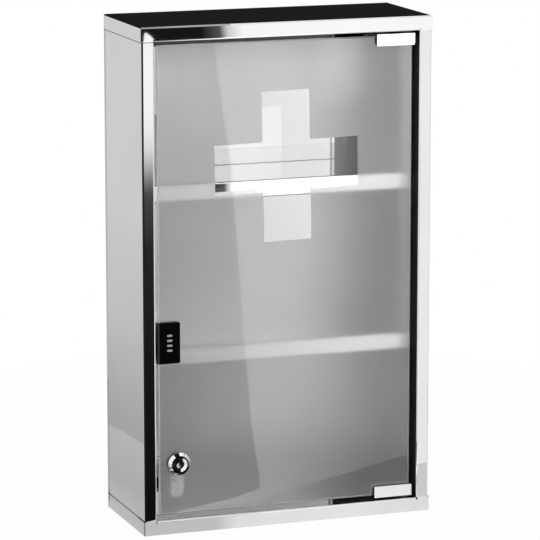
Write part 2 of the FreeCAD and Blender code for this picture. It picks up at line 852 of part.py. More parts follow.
def lock_cam():
    # A flat arm with round ends, pointing straight down while the lock is open
    body = new_body("lock_cam")
    tip = "(lock_height - cam_length + cam_width / 2)"
    arm = rectangle(f"({lock_x} - cam_width / 2)", tip, f"({lock_x} + cam_width / 2)", "lock_height")
    half_tail = "(tail_width / 2 + seat_fit)"
    pad(body, "arm", "XZ_Plane", cam_front, "cam_thickness", arm)
    pad(body, "hub", "XZ_Plane", cam_front, "cam_thickness", circle(*lock_centre, "(cam_width / 2)"))
    pad(body, "tip", "XZ_Plane", cam_front, "cam_thickness", circle(lock_x, tip, "(cam_width / 2)"))
    pocket(
        body, "square_hole", "XZ_Plane", f"({cam_front} - overrun)", "cam_thickness + 2 * overrun",
        rectangle(
            f"({lock_x} - {half_tail})", f"(lock_height - {half_tail})",
            f"({lock_x} + {half_tail})", f"(lock_height + {half_tail})",
        ),
    )
    return body


def cam_screw():
    body = new_body("cam_screw")
    head_end = f"({cam_rear} + cam_head_height)"
    thread_end = f"({cam_rear} - cam_screw_depth)"
    turned(
        body, "screw", "Y", lock_centre,
        ("0", thread_end), ("cam_screw_radius", thread_end), ("cam_screw_radius", cam_rear),
        ("cam_head_radius", cam_rear), ("cam_head_radius", head_end), ("0", head_end),
    )
    pocket(
        body, "driver_slot", "XZ_Plane", f"({head_end} - driver_slot_depth)", "driver_slot_depth + overrun",
        rectangle(
            f"({lock_x} - cam_head_radius - overrun)", "(lock_height - driver_slot_width / 2)",
            f"({lock_x} + cam_head_radius + overrun)", "(lock_height + driver_slot_width / 2)",
        ),
    )
    return body


pieces = [
    cap("top_cap", True),
    cap("bottom_cap", False),
    side_panel("left_side_panel", True),
    side_panel("right_side_panel", False),
    back(),
    shelf("upper_shelf", "upper_shelf_top", False),
    shelf("lower_shelf", "lower_shelf_top", True),
    glass(),
    push_clip(),
    strike(),
    latch_housing(),
    latch_plunger(),
    latch_magnet(),
    latch_spring(),
    latch_screws(),
    lock_housing(),
    ring(
        "lock_gasket", bezel_rear, "gasket_thickness", circle(*lock_centre, "gasket_radius"),
        lock_hole_radius,
    ),
    ring(
        "lock_washer", glass_rear, "washer_thickness", circle(*lock_centre, "gasket_radius"),
        lock_hole_radius,
    ),
    ring(
        "lock_nut", nut_front, "nut_thickness", hexagon(*lock_centre, "nut_flats"),
        "(barrel_thread_radius + seat_fit)",
    ),
    lock_plug(),
    lock_cam(),
    cam_screw(),
]
for position, upper in (("upper", True), ("lower", False)):
    pieces += [
        pivot_bush(f"{position}_pivot_bush", upper),
        hinge_clamp(f"{position}_hinge_clamp", upper),
        hinge_pin(f"{position}_hinge_pin", upper),
        hinge_pads(f"{position}_hinge_pads", upper),
        hinge_screws(f"{position}_hinge_screws", upper),
    ]

doc.recompute()
for item in doc.Objects:
    if "Invalid" in item.State or "Error" in item.State:
        raise RuntimeError(f"{item.Name} failed: {item.State}")
for piece in pieces:
    if piece.Shape.isNull() or not piece.Shape.isValid() or not piece.Shape.Solids:
        raise RuntimeError(f"{piece.Label} has no sound shape")

os.makedirs("parts", exist_ok=True)
for piece in pieces:
    piece.Shape.exportStep(f"parts/{piece.Label}.step")
    print(piece.Label, len(piece.Shape.Solids), "solids", round(piece.Shape.Volume, 1), "mm3")
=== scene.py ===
import json
import math

import bmesh
import bpy
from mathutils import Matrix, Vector


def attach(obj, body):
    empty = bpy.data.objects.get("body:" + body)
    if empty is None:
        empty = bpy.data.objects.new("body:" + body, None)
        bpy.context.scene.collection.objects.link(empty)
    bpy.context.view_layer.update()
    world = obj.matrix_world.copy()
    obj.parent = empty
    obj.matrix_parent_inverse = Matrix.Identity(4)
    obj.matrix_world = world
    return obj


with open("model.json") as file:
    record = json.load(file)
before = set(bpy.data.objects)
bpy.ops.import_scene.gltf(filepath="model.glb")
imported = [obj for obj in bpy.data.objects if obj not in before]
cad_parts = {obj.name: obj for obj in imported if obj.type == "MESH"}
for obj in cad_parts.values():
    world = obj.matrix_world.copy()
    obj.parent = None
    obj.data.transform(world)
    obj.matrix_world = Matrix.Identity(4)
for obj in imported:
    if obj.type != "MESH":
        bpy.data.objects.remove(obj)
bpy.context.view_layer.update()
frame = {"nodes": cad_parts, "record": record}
nodes = frame["nodes"]


class Wire:  # a socket that Python sums can use
    def __init__(self, finish, socket):
        self.finish = finish
        self.socket = socket

    def sum(self, operation, *values):
        return self.finish.node("ShaderNodeMath", {"operation": operation}, dict(enumerate(values)))

    def __add__(self, other):
        return self.sum("ADD", self, other)

    def __radd__(self, other):
        return self.sum("ADD", other, self)

    def __sub__(self, other):
        return self.sum("SUBTRACT", self, other)

    def __rsub__(self, other):
        return self.sum("SUBTRACT", other, self)

    def __mul__(self, other):
        return self.sum("MULTIPLY", self, other)

    def __rmul__(self, other):
        return self.sum("MULTIPLY", other, self)

    def __lt__(self, other):
        return self.sum("LESS_THAN", self, other)

    def __gt__(self, other):
        return self.sum("GREATER_THAN", self, other)

    def __abs__(self):
        return self.sum("ABSOLUTE", self)


class Finish:  # one node tree and what goes into it
    def __init__(self, owner):
        self.owner = owner
        owner.use_nodes = True
        self.tree = owner.node_tree
        self.tree.nodes.clear()

    def node(self, kind, settings=None, inputs=None, output=0):
        made = self.tree.nodes.new(kind)
        for key, value in (settings or {}).items():
            setattr(made, key, value)
        for key, value in (inputs or {}).items():
            if isinstance(value, Wire):
                self.tree.links.new(value.socket, made.inputs[key])
            else:
                made.inputs[key].default_value = value
        return Wire(self, made.outputs[output]) if made.outputs else None

    def parts(self, vector):
        return [self.node("ShaderNodeSeparateXYZ", None, {0: vector}, i) for i in range(3)]

    def place(self):
        return self.node("ShaderNodeTexCoord", None, None, "Object")

    def stretched(self, scale):
        return self.node("ShaderNodeMapping", None, {"Vector": self.place(), "Scale": scale})

    def grain(self, vector, scale, detail=2, rough=0.5):
        settings = {"noise_dimensions": "3D"}
        inputs = {"Vector": vector, "Scale": scale, "Detail": detail, "Roughness": rough}
        return self.node("ShaderNodeTexNoise", settings, inputs, "Fac")

    def larger(self, first, second):
        return self.node("ShaderNodeMath", {"operation": "MAXIMUM"}, {0: first, 1: second})

    def distance(self, across, along):
        return self.node("ShaderNodeMath", {"operation": "SQRT"}, {0: across * across + along * along})

    def raySeen(self):
        # Camera rays, and rays that were mirrored or went through glass
        camera, glossy, through = [
            self.node("ShaderNodeLightPath", None, None, kind)
            for kind in ("Is Camera Ray", "Is Glossy Ray", "Is Transmission Ray")
        ]
        return camera, self.larger(glossy, through)

    def ranged(self, value, fromLow, fromHigh, toLow, toHigh):
        inputs = {0: value, 1: fromLow, 2: fromHigh, 3: toLow, 4: toHigh}
        return self.node("ShaderNodeMapRange", {"clamp": True}, inputs)

    def tint(self, factor, first, second):
        return self.blended(factor, (*first, 1), (*second, 1))

    def blended(self, factor, first, second):
        return self.node("ShaderNodeMix", {"data_type": "RGBA"}, {0: factor, 6: first, 7: second}, 2)

    def shadeAndSeams(self, colour, paintedMarks):
        # The colour with painted shade and painted dark lines on it, and the share that is dulled
        place = self.parts(self.place())
        dulled = 0.0
        for tone, dull, *limits in paintedMarks:
            inside = 1.0
            for axis, low, high in limits:
                inside = inside * (place[axis] > low) * (place[axis] < high)
            colour = self.blended(inside, colour, (tone, tone, tone, 1))
            dulled = dulled + inside * dull
        return colour, dulled

    def bump(self, height, distance):
        inputs = {"Height": height, "Distance": distance, "Strength": 1}
        return self.node("ShaderNodeBump", None, inputs)

    def surface(self, inputs):
        shader = self.node("ShaderNodeBsdfPrincipled", None, inputs)
        self.node("ShaderNodeOutputMaterial", None, {"Surface": shader})
        return self.owner


def newFinish(name):
    return Finish(bpy.data.materials.new(name))


# Camera at the photograph's viewing angle
cameraSet = {"place": (-1.1135, -3.1085, 0.8839), "turn": (79.05, 0, -19.74), "lens": 225.5, "far": 60}
cameraData = bpy.data.cameras.new("camera")
cameraData.lens = cameraSet["lens"]
cameraData.clip_end = cameraSet["far"]
camera = bpy.data.objects.new("camera", cameraData)
camera.location = cameraSet["place"]
camera.rotation_euler = [math.radians(angle) for angle in cameraSet["turn"]]
bpy.context.scene.collection.objects.link(camera)
bpy.context.scene.camera = camera
print("camera set")


# Mirror-polished sheet
steelSet = {
    "bright": (0.81, 0.81, 0.815), "dim": (0.775, 0.775, 0.78), "gloss": 0.008, "haze": 0.02,
    "cloudScale": 14, "cloudFrom": 0.45, "cloudTo": 0.75, "strokes": (30, 900, 900),
    "waveScale": 5, "wave": 0.00008, "backShade": 0.68, "dullRough": 0.6, "dullShine": 0.12,
}


def polishedSteel(name, paintedMarks=(), share=1.0):
    finish = newFinish(name)
    cloud = finish.grain(finish.place(), steelSet["cloudScale"], 3)
    strokes = finish.grain(finish.stretched(steelSet["strokes"]), 1, 2)
    smear = finish.ranged(cloud, steelSet["cloudFrom"], steelSet["cloudTo"], 0, 1)
    rough = steelSet["gloss"] + smear * strokes * steelSet["haze"]
    wave = finish.grain(finish.place(), steelSet["waveScale"], 1)
    bright, dim = [tuple(share * part for part in steelSet[key]) for key in ("bright", "dim")]
    colour = finish.tint(smear, bright, dim)
    colour, dulled = finish.shadeAndSeams(colour, paintedMarks)
    return finish.surface({
        "Base Color": colour,
        "Metallic": 1.0 - dulled,
        "Roughness": rough + dulled * steelSet["dullRough"],
        "Specular IOR Level": steelSet["dullShine"],
        "Normal": finish.bump(wave, steelSet["wave"]),
    })


# Door glass, etched on its back apart from a clear cross
glassSet = {
    "colour": (0.97, 0.97, 0.97), "frost": 0.66, "speckleScale": 3500, "speckle": 0.1, "backFrom": -0.0504,
    "crossX": 0.0007, "crossZ": 0.3579, "armHalf": 0.0245, "reachHalf": 0.074, "crossTurn": 1.05,
    "ior": 1.5, "shine": 0.9, "frontTo": -0.0535, "coat": 1.0, "coatIor": 1.5,
    "rim": (-0.1311, 0.1298, 0.0199, 0.4801), "ground": 0.55, "edgeShine": 0.6,
    "calmFrom": 0.046, "calmTo": 0.070,  # the front shines less at the right end of the cross
}


def frostedGlass():
    finish = newFinish("frostedGlass")
    x, y, z = finish.parts(finish.place())
    aside = x - glassSet["crossX"]
    above = z - glassSet["crossZ"]
    turn = math.radians(glassSet["crossTurn"])
    level, lean = math.cos(turn), math.sin(turn)
    across = abs(aside * level + above * lean)
    along = abs(above * level - aside * lean)
    arm = glassSet["armHalf"]
    reach = glassSet["reachHalf"]
    upright = (across < arm) * (along < reach)
    beam = (across < reach) * (along < arm)
    cross = finish.larger(upright, beam)
    etched = (y > glassSet["backFrom"]) * (1 - cross)
    speckle = (finish.grain(finish.place(), glassSet["speckleScale"], 1) - 0.5) * glassSet["speckle"]
    left, right, low, high = glassSet["rim"]
    inside = (x > left) * (x < right) * (z > low) * (z < high)
    ground = (1 - inside) * glassSet["ground"]
    rough = ground + etched * inside * (glassSet["frost"] + speckle)
    calm = cross * finish.ranged(x, glassSet["calmFrom"], glassSet["calmTo"], 0, 1)
    return finish.surface({
        "Base Color": (*glassSet["colour"], 1),
        "Roughness": rough,
        "Metallic": (1 - inside) * glassSet["edgeShine"],
        "IOR": glassSet["ior"],
        "Transmission Weight": 1.0,
        "Specular IOR Level": glassSet["shine"],
        "Coat Weight": (y < glassSet["frontTo"]) * (1 - calm) * glassSet["coat"],
        "Coat Roughness": 0.0,
        "Coat IOR": glassSet["coatIor"],
    })


# Bright plating on castings and fasteners
plateSet = {"dimShare": 0.9, "relief": 0.00001}


def plated(name, colour, gloss, spread, scale, paintedMarks=()):
    finish = newFinish(name)
    cloud = finish.grain(finish.place(), scale, 3)
    dim = tuple(plateSet["dimShare"] * part for part in colour)
    shade = finish.shadeAndSeams(finish.tint(cloud, colour, dim), paintedMarks)[0]
    return finish.surface({
        "Base Color": shade,
        "Metallic": 1.0,
        "Roughness": gloss + cloud * spread,
        "Normal": finish.bump(cloud, plateSet["relief"]),
    })


# Bezel of the lock: a mirror with painted dark reflections below, to the left of the dish and along a thin
# line, and painted shade in the groove
lockSet = {
    "axisX": -0.1120, "axisZ": 0.0690, "grooveIn": 0.0079, "grooveOut": 0.0088, "rimFrom": 0.0108,
    "lowSide": (0.50, -0.866, 0.0066), "dishSide": (-0.98, 0.17, -0.0018), "darkReflectionLine": (-0.966, -0.259, 0.0007),
    "bright": (0.9, 0.9, 0.905), "dark": 0.008, "gloss": 0.02, "haze": 0.03, "cloudScale": 120,
}


def lockChrome():
    finish = newFinish("lockChrome")
    x, _, z = finish.parts(finish.place())
    aside = x - lockSet["axisX"]
    above = z - lockSet["axisZ"]
    away = finish.distance(aside, above)
    bevel = away > lockSet["grooveOut"]
    dish = away < lockSet["grooveIn"]
    right, up, least = lockSet["lowSide"]
    low = bevel * (away < lockSet["rimFrom"]) * (aside * right + above * up > least)
    right, up, least = lockSet["dishSide"]
    left = dish * (aside * right + above * up > least)
    # A thin line of painted dark reflection on the bevel
    right, up, half = lockSet["darkReflectionLine"]
    darkReflectionLine = bevel * (aside * right + above * up > 0) * (abs(above * right - aside * up) < half)
    groove = (1 - bevel) * (1 - dish)
    dark = low + left + darkReflectionLine + groove
    cloud = finish.grain(finish.place(), lockSet["cloudScale"], 3)
    return finish.surface({
        "Base Color": finish.tint(dark, lockSet["bright"], (lockSet["dark"],) * 3),
        "Metallic": 1.0,
        "Roughness": lockSet["gloss"] + cloud * lockSet["haze"],
    })


# Mouldings, rubber and nylon
mouldSet = {"detail": 4, "grainRough": 0.6, "paleShare": 1.25, "paleLift": 0.001}


def moulded(name, colour, gloss, spread, scale, relief):
    finish = newFinish(name)
    cloud = finish.grain(finish.place(), scale, mouldSet["detail"], mouldSet["grainRough"])
    pale = tuple(min(1, part * mouldSet["paleShare"] + mouldSet["paleLift"]) for part in colour)
    return finish.surface({
        "Base Color": finish.tint(cloud, colour, pale),
        "Roughness": gloss + (cloud - 0.5) * spread,
        "Normal": finish.bump(cloud, relief),
    })


finishes = {  # by slot: name, colour, gloss, its spread and the grain's scale
    "polished_steel": polishedSteel("polishedSteel"),
    "frosted_glass": frostedGlass(),
    "lock_chrome": plated("plugChrome", (0.8, 0.8, 0.805), 0.02, 0.04, 120),
    "fastener_steel": plated("brightZinc", (0.62, 0.62, 0.63), 0.18, 0.2, 300),
    "nut_steel": plated("dullPlate", (0.3, 0.3, 0.31), 0.3, 0.2, 300),
    "magnet_steel": plated("magnetPlate", (0.42, 0.42, 0.44), 0.25, 0.2, 300),
    "black_plastic": moulded("blackMoulding", (0.001, 0.001, 0.0011), 0.07, 0.04, 900, 0.000002),
    "latch_plastic": moulded("paleMoulding", (0.62, 0.62, 0.61), 0.5, 0.2, 1200, 0.00003),
    "nylon": moulded("blackNylon", (0.012, 0.012, 0.012), 0.5, 0.2, 900, 0.00002),
    "pad_rubber": moulded("padRubber", (0.03, 0.03, 0.03), 0.75, 0.2, 1500, 0.00004),
}
camFinish = plated("satinZinc", (0.86, 0.86, 0.87), 0.45, 0.1, 300)
bezelFinish = lockChrome()
# Painted shade and painted dark reflections on bends, corners, lips and inner faces, and dark lines along the
# seams: tone, share dulled, then limits by axis
x, y, z = range(3)


# Painted shade where each shelf meets the back panel, along its front bend and under its front flange
def shelfShade(top):
    return (
        (0.09, 0.0, (y, 0.0554, 0.0592), (z, top - 0.0010, top + 0.0005)),
        (0.15, 0.0, (y, -0.0402, -0.0372), (z, top - 0.0006, top + 0.0005)),
        (0.20, 0.0, (y, -0.0410, -0.0385), (z, top - 0.0172, top - 0.0160)),
    )


# Each sheet's painted shade and painted dark reflections, with dark lines along the side panels' seams
shadeAndSeams = {
    "left_side_panel": (
        (0.25, 0.0, (x, -0.1500, -0.1365), (y, -0.0600, -0.0585), (z, 0.4846, 0.4860)),
        (0.02, 0.0, (x, -0.1500, -0.1474), (y, -0.0600, -0.0583)),
        (0.04, 0.0, (x, -0.1500, -0.1480), (z, 0.4843, 0.4860)),
        (0.04, 0.0, (x, -0.1500, -0.1480), (z, 0.0140, 0.0155)),
    ),
    "bottom_cap": (
        (0.35, 0.0, (x, -0.1488, 0.1488), (y, -0.0588, 0.0580), (z, 0.0006, 0.0140)),
        (0.25, 0.0, (x, -0.1363, 0.0550), (y, -0.0585, 0.0580), (z, 0.0140, 0.0150)),
        (0.01, 1.0, (x, 0.0550, 0.1363), (y, -0.0585, 0.0580), (z, 0.0140, 0.0150)),
        (0.25, 0.0, (x, -0.1510, -0.1490), (y, -0.0610, -0.0596)),
        (0.12, 0.0, (x, -0.1510, -0.1492), (y, 0.0545, 0.0575), (z, 0.0075, 0.0150)),
    ),
    "top_cap": (
        (0.40, 0.0, (x, -0.1500, -0.0600), (y, -0.0602, -0.0590), (z, 0.4985, 0.5001)),
        (0.01, 1.0, (x, 0.0550, 0.1363), (y, -0.0585, 0.0580), (z, 0.4850, 0.4860)),
    ),
    "right_side_panel": (
        (0.01, 1.0, (x, 0.1300, 0.1374), (y, -0.0580, 0.0000)),
        (0.00, 1.0, (x, 0.1300, 0.1420), (y, -0.0600, -0.0570), (z, 0.0000, 0.0144)),
        (0.06, 0.0, (x, 0.1480, 0.1500), (z, 0.4847, 0.4860)),
        (0.06, 0.0, (x, 0.1480, 0.1500), (z, 0.0140, 0.0153)),
    ),
    "upper_shelf": shelfShade(0.3435),
    "lower_shelf": shelfShade(0.1815),
}
# Painted shade in the back panel's inner corners and along its top under the cap
cornerShade = (
    (0.2, 0.0, (x, -0.1484, -0.1470), (y, 0.0590, 0.0594)),
    (0.2, 0.0, (x, 0.1470, 0.1484), (y, 0.0590, 0.0594)),
    (0.05, 0.0, (x, -0.1484, 0.1484), (y, 0.0590, 0.0594), (z, 0.4655, 0.4720)),
)
# Painted dark reflection on the clamps' left side faces and a painted dark line across the lower clamp
clampShade = (
    (0.03, 0.0, (x, 0.0915, 0.0924), (y, -0.0575, -0.0530)),
    (0.05, 0.0, (x, 0.0915, 0.1330), (y, -0.0575, -0.0535), (z, 0.0284, 0.0290)),
)
clampFinish = plated("hingeChrome", (0.97, 0.97, 0.975), 0.02, 0.05, 60, clampShade)
own = {
    # The back panel's steel colour is scaled down as painted shade
    "back_panel": polishedSteel("backSteel", cornerShade, steelSet["backShade"]),
    "lock_cam": camFinish,
    "lock_housing": bezelFinish,
    "upper_hinge_clamp": clampFinish,
    "lower_hinge_clamp": clampFinish,
}
for name, paintedMarks in shadeAndSeams.items():
    own[name] = polishedSteel(name + "_steel", paintedMarks)
for part in frame["record"]["subparts"]:
    piece = nodes[part["node"]]
    piece.data.materials.clear()
    piece.data.materials.append(own.get(part["node"]) or finishes[part["material_slot"]])
print("finishes:", len(finishes))


# Four plain bars on the push clip
barSet = {
    "count": 4, "middleX": -0.1213, "middleZ": 0.1907, "face": -0.05555, "wide": 0.0052, "tall": 0.0021,
    "pitch": 0.0049, "corner": 0.0005, "steps": 4, "rise": 0.00006, "ink": (0.24, 0.24, 0.24),
}


def roundedPlate(mesh, middleZ):
    corner = barSet["corner"]
    aside = barSet["wide"] / 2 - corner
    above = barSet["tall"] / 2 - corner
    rims = []
    for y in (barSet["face"], barSet["face"] - barSet["rise"]):
        rim = []
        for quarter, (right, up) in enumerate(((1, 1), (-1, 1), (-1, -1), (1, -1))):
            for step in range(barSet["steps"] + 1):
                angle = math.radians(90 * (quarter + step / barSet["steps"]))
                x = barSet["middleX"] + right * aside + corner * math.cos(angle)
                z = middleZ + up * above + corner * math.sin(angle)
                rim.append(mesh.verts.new((x, y, z)))
        rims.append(rim)
    closeRims(mesh, rims)


def closeRims(mesh, rims):
    count = len(rims[0])
    mesh.faces.new(rims[1])
    mesh.faces.new(rims[0][::-1])
    for i in range(count):
        j = (i + 1) % count
        mesh.faces.new((rims[0][i], rims[0][j], rims[1][j], rims[1][i]))


def placed(name, mesh, finish, body):
    bmesh.ops.recalc_face_normals(mesh, faces=mesh.faces)
    data = bpy.data.meshes.new(name)
    mesh.to_mesh(data)
    mesh.free()
    data.materials.append(finish)
    piece = bpy.data.objects.new(name, data)
    bpy.context.scene.collection.objects.link(piece)
    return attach(piece, body)


mesh = bmesh.new()
for i in range(barSet["count"]):
    level = barSet["middleZ"] + (i - (barSet["count"] - 1) / 2) * barSet["pitch"]
    roundedPlate(mesh, level)
inkFinish = moulded("paleInk", barSet["ink"], 0.6, 0.2, 1500, 0.000002)
placed("clip_bars", mesh, inkFinish, "door")
print("clip bars set")


# A bright crescent piece on the plug's face: a painted highlight on the lip of the keyway
keySet = {
    "middleX": -0.1128, "middleZ": 0.0677, "face": -0.0564, "reach": 0.0030, "outer": 0.0022, "inner": 0.0003,
    "steps": 12, "rise": 0.00015, "shine": (0.97, 0.97, 0.97),
}


def crescent(mesh):
    rims = []
    for y in (keySet["face"], keySet["face"] - keySet["rise"]):
        rim = []
        for bulge, order in ((keySet["outer"], 1), (keySet["inner"], -1)):
            for step in range(keySet["steps"]):
                along = order * (1 - 2 * step / keySet["steps"])
                x = keySet["middleX"] - bulge * (1 - along * along)
                z = keySet["middleZ"] + keySet["reach"] * along
                rim.append(mesh.verts.new((x, y, z)))
        rims.append(rim)
    closeRims(mesh, rims)


mesh = bmesh.new()
crescent(mesh)
placed("keyway_highlight", mesh, plated("keyShine", keySet["shine"], 0.5, 0.1, 400), "lock")
print("keyway set")


# Studio: floor, world, lamps and the cards that the polished sheet mirrors
floorSet = {"half": 14, "colour": (0.9, 0.9, 0.9), "whiteNear": 0.94, "fadeFrom": 0.3, "fadeTo": 0.8}


def layFloor():
    half = floorSet["half"]
    mesh = bpy.data.meshes.new("floor")
    corners = [(-half, -half, 0), (half, -half, 0), (half, half, 0), (-half, half, 0)]
    mesh.from_pydata(corners, [], [(0, 1, 2, 3)])
    floor = bpy.data.objects.new("floor", mesh)
    bpy.context.scene.collection.objects.link(floor)
    finish = newFinish("paleFloor")
    x, y, _ = finish.parts(finish.place())
    away = finish.distance(x, y)
    fade = finish.ranged(away, floorSet["fadeFrom"], floorSet["fadeTo"], floorSet["whiteNear"], 1)
    direct, mirrored = finish.raySeen()
    share = direct * fade + (1 - direct) * mirrored
    paint = finish.node("ShaderNodeBsdfDiffuse", None, {"Color": (*floorSet["colour"], 1)})
    white = finish.node("ShaderNodeEmission", None, {"Color": (1, 1, 1, 1), "Strength": 1.0})
    mixed = finish.node("ShaderNodeMixShader", None, {0: share, 1: paint, 2: white})
    finish.node("ShaderNodeOutputMaterial", None, {"Surface": mixed})
    mesh.materials.append(finish.owner)


worldSet = {"seen": 1.0, "shed": 0.7}


def lightWorld():
    world = bpy.data.worlds.new("studio")
    bpy.context.scene.world = world
    finish = Finish(world)
    seen = finish.larger(*finish.raySeen())
    strength = worldSet["shed"] + seen * (worldSet["seen"] - worldSet["shed"])
    glow = finish.node("ShaderNodeBackground", None, {"Color": (1, 1, 1, 1), "Strength": strength})
    finish.node("ShaderNodeOutputWorld", None, {"Surface": glow})


lampSet = {
    "key": {"place": (-1.3, -1.6, 2.1), "power": 28, "side": 1.2},
    "fill": {"place": (1.6, -1.2, 1.6), "power": 12, "side": 1.4},
}
lampAim = Vector((0, 0, 0.25))


def hangLamps():
    for name, lamp in lampSet.items():
        data = bpy.data.lights.new(name, "AREA")
        data.energy = lamp["power"]
        data.size = lamp["side"]
        light = bpy.data.objects.new(name, data)
        light.location = lamp["place"]
        light.rotation_euler = (lampAim - light.location).to_track_quat("-Z", "Y").to_euler()
        light.visible_camera = False
        light.visible_glossy = False
        light.visible_transmission = False
        bpy.context.scene.collection.objects.link(light)


def cardFinish():
    finish = newFinish("cardGlow")
    tone = finish.node("ShaderNodeAttribute", {"attribute_name": "tone"}, None, "Color")
    glow = finish.node("ShaderNodeEmission", None, {"Color": tone, "Strength": 1.0})
    clear = finish.node("ShaderNodeBsdfTransparent")
    mirrored = finish.node("ShaderNodeLightPath", None, None, "Glossy Depth") > 0.5
    mixed = finish.node("ShaderNodeMixShader", None, {0: mirrored, 1: clear, 2: glow})
    finish.node("ShaderNodeOutputMaterial", None, {"Surface": mixed})
    return finish.owner


cardGlow = cardFinish()


def hangCard(name, rows, hidden=("transmission",)):
    # rows of (place, tone), every row as long as the first
    wide = len(rows[0])
    corners = [place for row in rows for place, tone in row]
    tones = [tone for row in rows for place, tone in row]
    quads = [
        (i * wide + j, i * wide + j + 1, (i + 1) * wide + j + 1, (i + 1) * wide + j)
        for i in range(len(rows) - 1)
        for j in range(wide - 1)
    ]
    mesh = bpy.data.meshes.new(name)
    mesh.from_pydata(corners, [], quads)
    shade = mesh.attributes.new("tone", "FLOAT_COLOR", "POINT")
    for value, tone in zip(shade.data, tones):
        value.color = (tone, tone, tone, 1)
    mesh.materials.append(cardGlow)
    card = bpy.data.objects.new(name, mesh)
    for kind in ("camera", "diffuse", "volume_scatter", "shadow", *hidden):
        setattr(card, "visible_" + kind, False)
    bpy.context.scene.collection.objects.link(card)
    return card


# Cards on the floor are laid out by what they show in the front or in the left wall
eye = Vector(cameraSet["place"])
frontFace = -0.06
leftFace = -0.15


def beforeFront(x, z, height):
    # Where on the floor the front mirrors what the camera sees at x, z
    image = Vector((eye.x, 2 * frontFace - eye.y, eye.z))
    reach = (eye.z - height) / (eye.z - z)
    return image + (Vector((x, frontFace, z)) - image) * reach


def besideLeft(y, z, height):
    image = Vector((2 * leftFace - eye.x, eye.y, eye.z))
    reach = (eye.z - height) / (eye.z - z)
    return image + (Vector((leftFace, y, z)) - image) * reach


def between(value, stops):
    # Straight from stop to stop, and level before the first and after the last
    if value <= stops[0][0]:
        return stops[0][1]
    for (low, first), (high, second) in zip(stops, stops[1:]):
        if value <= high:
            return first + (second - first) * (value - low) / (high - low)
    return stops[-1][1]


def spread(low, high, steps):
    return [low + (high - low) * i / steps for i in range(steps + 1)]


def frontCard(name, across, low, high, steps, level, tone):
    # Hangs a card that the front mirrors between two lines, each a height or stops by x
    rows = []
    for share in spread(0, 1, steps):
        row = []
        for x in across:
            foot, head = [line if isinstance(line, float) else between(x, line) for line in (low, high)]
            z = foot + (head - foot) * share
            row.append((beforeFront(x, z, level), tone(x, z)))
        rows.append(row)
    hangCard(name, rows)


paneCard = {  # what the pane mirrors: tone by height, share of it by x, a lit patch and a strip at the right
    "left": -0.155, "right": 0.132, "top": 0.4855, "columns": 28, "rows": 48, "level": 0.0004,
    "tone": (
        (0.016, 1.25), (0.110, 1.80), (0.165, 1.80), (0.200, 1.10),
        (0.250, 1.55), (0.400, 1.95), (0.480, 2.10),
    ),
    "share": ((0.030, 1.0), (0.055, 1.05), (0.090, 0.85), (0.124, 0.63)),
    "patch": {"x": 0.055, "z": 0.465, "wide": 0.032, "tall": 0.055, "glow": 1.6},
    "stripFrom": 0.1246, "stripSoft": 0.0006,
    "strip": ((0.165, 1.15), (0.250, 1.45), (0.400, 2.60), (0.480, 2.80)),
}
wedgeCard = {  # the darker wedge below it, under a slanted line
    "low": 0.0148, "edge": ((-0.155, 0.0156), (-0.040, 0.0215), (0.131, 0.0565)), "rows": 2,
    "tone": ((0.020, 0.80), (0.124, 0.46)),
}


def paneTone(x, z):
    patch = paneCard["patch"]
    if x > paneCard["stripFrom"]:
        return between(z, paneCard["strip"])
    aside = max(0, 1 - ((x - patch["x"]) / patch["wide"]) ** 2)
    above = max(0, 1 - ((z - patch["z"]) / patch["tall"]) ** 2)
    return between(z, paneCard["tone"]) * between(x, paneCard["share"]) + aside * above * patch["glow"]


def wedgeTone(x, z):
    return between(x, wedgeCard["tone"])


def hangPane():
    level = paneCard["level"]
    across = spread(paneCard["left"], paneCard["stripFrom"], paneCard["columns"])
    across += [paneCard["stripFrom"] + paneCard["stripSoft"], paneCard["right"]]
    frontCard("paneCard", across, wedgeCard["edge"], paneCard["top"], paneCard["rows"], level, paneTone)
    frontCard("wedgeCard", across, wedgeCard["low"], wedgeCard["edge"], wedgeCard["rows"], level, wedgeTone)


flangeCard = {  # what the bottom flange mirrors, and one tone for the top flange
    "left": -0.155, "right": 0.160, "columns": 28, "level": 0.0004,
    "tone": ((-0.075, 0.63), (-0.055, 0.90), (0.070, 0.95), (0.160, 0.87)),
    "topLow": 0.4855, "topHigh": 0.540, "topTone": 1.16,
}


def hangFlanges():
    level = flangeCard["level"]
    across = spread(flangeCard["left"], flangeCard["right"], flangeCard["columns"])
    frontCard("flangeCard", across, 0.0, wedgeCard["low"], 1, level,
              lambda x, z: between(x, flangeCard["tone"]))
    frontCard("topCard", across, flangeCard["topLow"], flangeCard["topHigh"], 1, level,
              lambda x, z: flangeCard["topTone"])


rightCard = {  # what the right stile mirrors below and above a slanted line
    "left": 0.132, "right": 0.160, "level": 0.0004, "rows": 8,
    "edge": ((0.132, 0.0480), (0.160, 0.0505)), "lowTone": 0.72, "tone": ((0.050, 0.98), (0.480, 1.03)),
}


def hangRight():
    level = rightCard["level"]
    across = (rightCard["left"], rightCard["right"])
    frontCard("rightLow", across, wedgeCard["low"], rightCard["edge"], 1, level,
              lambda x, z: rightCard["lowTone"])
    frontCard("rightHigh", across, rightCard["edge"], paneCard["top"], rightCard["rows"], level,
              lambda x, z: between(z, rightCard["tone"]))


clampCard = {"left": 0.0885, "right": 0.132, "low": 0.0150, "high": 0.0305, "tone": 0.86, "level": 0.0006}


def hangClamp():
    across = (clampCard["left"], clampCard["right"])
    frontCard("clampCard", across, clampCard["low"], clampCard["high"], 1, clampCard["level"],
              lambda x, z: clampCard["tone"])


